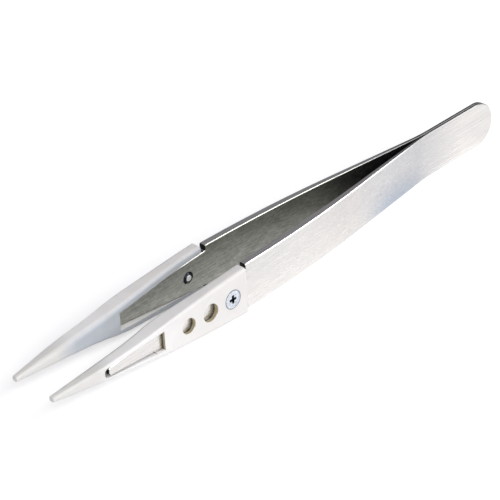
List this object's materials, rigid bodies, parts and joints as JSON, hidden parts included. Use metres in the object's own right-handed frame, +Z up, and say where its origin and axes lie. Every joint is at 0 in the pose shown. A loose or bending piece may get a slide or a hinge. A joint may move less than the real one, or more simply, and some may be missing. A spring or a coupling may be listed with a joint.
{
  "type": "tweezers",
  "caption": "Steel tweezers with a screwed-on plastic tip on each arm, bowed open and joined flat at the round tail.",
  "frame": {"origin": "on the surface that the tweezers lie on, under the middle of their length and of the opening", "axes": "+X along the length to the tail, +Y across the opening, +Z up along the height of the strips"},
  "size_m": [0.13, 0.0148, 0.0103],
  "materials": {
    "steel": "brushed lengthwise",
    "plastic": "smooth moulded, slightly translucent",
    "screw": "bright turned"
  },
  "bodies": {
    "root": {"left_arm": "steel", "right_arm": "steel", "left_tip": "plastic", "right_tip": "plastic", "left_screw": "screw", "right_screw": "screw"}
  },
  "joints": []
}
